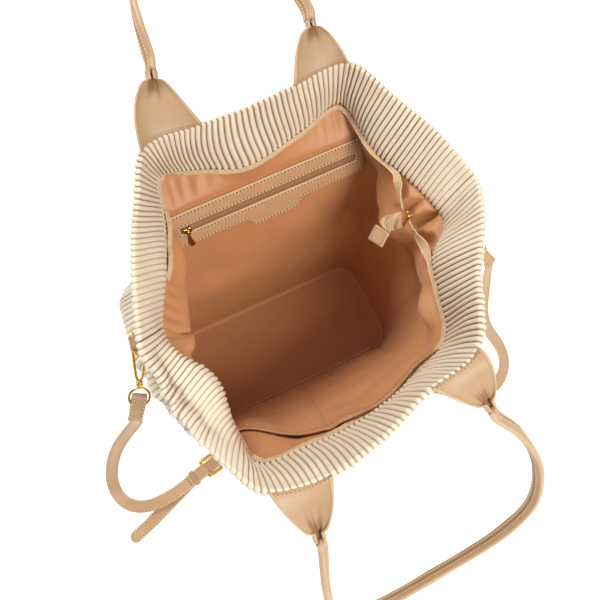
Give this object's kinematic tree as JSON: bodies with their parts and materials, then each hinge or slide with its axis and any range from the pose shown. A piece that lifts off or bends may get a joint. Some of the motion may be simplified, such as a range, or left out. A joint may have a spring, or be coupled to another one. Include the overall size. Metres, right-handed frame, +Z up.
{
  "type": "pleated tote handbag",
  "caption": "Soft pleated leather tote standing open on a flat base, with a cloth lining, zip pocket, mouth zip, looped handles on pinched tabs and a detachable shoulder strap on swivel hooks.",
  "frame": {"origin": "middle of the base panel's underside, on the surface that the bag stands on", "axes": "+X along the bag's long side to the right, +Y to the back, +Z up through the open mouth"},
  "size_m": [0.4839, 0.6859, 0.3357],
  "materials": {
    "pleated_leather": "soft satin cream leather in fine pleats",
    "trim_leather": "smooth tan leather with edge stitching",
    "lining_satin": "tan-brown satin lining cloth",
    "zip_tape": "woven beige zip tape",
    "gold_hardware": "polished light gold"
  },
  "bodies": {
    "bag": {"front_panel": "pleated_leather", "back_panel": "pleated_leather", "base_panel": "pleated_leather", "lining": "lining_satin", "pocket_frame": "trim_leather", "pocket_zip": "zip_tape", "pocket_slider": "gold_hardware", "slip_pocket": "lining_satin", "zip_tape_front": "zip_tape", "zip_tape_back": "zip_tape", "zip_slider": "gold_hardware", "zip_tail": "zip_tape", "zip_end_tab": "trim_leather", "handle_tab_front_left": "trim_leather", "handle_tab_front_right": "trim_leather", "handle_tab_back_right": "trim_leather", "handle_tab_back_left": "trim_leather", "handle_front": "trim_leather", "handle_back": "trim_leather", "ring_loop_left": "trim_leather", "ring_left": "gold_hardware", "hook_left": "gold_hardware", "hook_eye_left": "gold_hardware", "ring_loop_right": "trim_leather", "ring_right": "gold_hardware", "hook_right": "gold_hardware", "hook_eye_right": "gold_hardware", "buckle_frame": "gold_hardware", "short_strap": "trim_leather", "long_strap": "trim_leather", "strap_keeper": "trim_leather"},
    "left_gate": {"hook_gate_left": "gold_hardware"},
    "right_gate": {"hook_gate_right": "gold_hardware"},
    "pocket_puller": {"pocket_pull": "gold_hardware"},
    "zip_puller": {"zip_pull": "gold_hardware"}
  },
  "joints": [
    {"name": "left_gate_hinge", "type": "hinge", "parent": "bag", "child": "left_gate", "pos_m": [-0.14869, -0.02359, 0.20115], "axis": [0, -0.7071, 0.7071], "range_deg": [0, 22], "stiffness_Nm_per_rad": 0.004, "springref_deg": -9.74},
    {"name": "right_gate_hinge", "type": "hinge", "parent": "bag", "child": "right_gate", "pos_m": [0.19228, -0.03164, 0.20214], "axis": [0, -0.7071, 0.7071], "range_deg": [0, 22], "stiffness_Nm_per_rad": 0.004, "springref_deg": -9.74},
    {"name": "pocket_pull_hinge", "type": "hinge", "parent": "bag", "child": "pocket_puller", "pos_m": [-0.055, 0.09345, 0.19318], "axis": [0, -0.9766, 0.2152], "range_deg": [-30, 90]},
    {"name": "zip_pull_hinge", "type": "hinge", "parent": "bag", "child": "zip_puller", "pos_m": [0.13927, -0.00511, 0.23689], "axis": [0.9584, -0.2018, -0.2018], "range_deg": [-35, 35]}
  ]
}
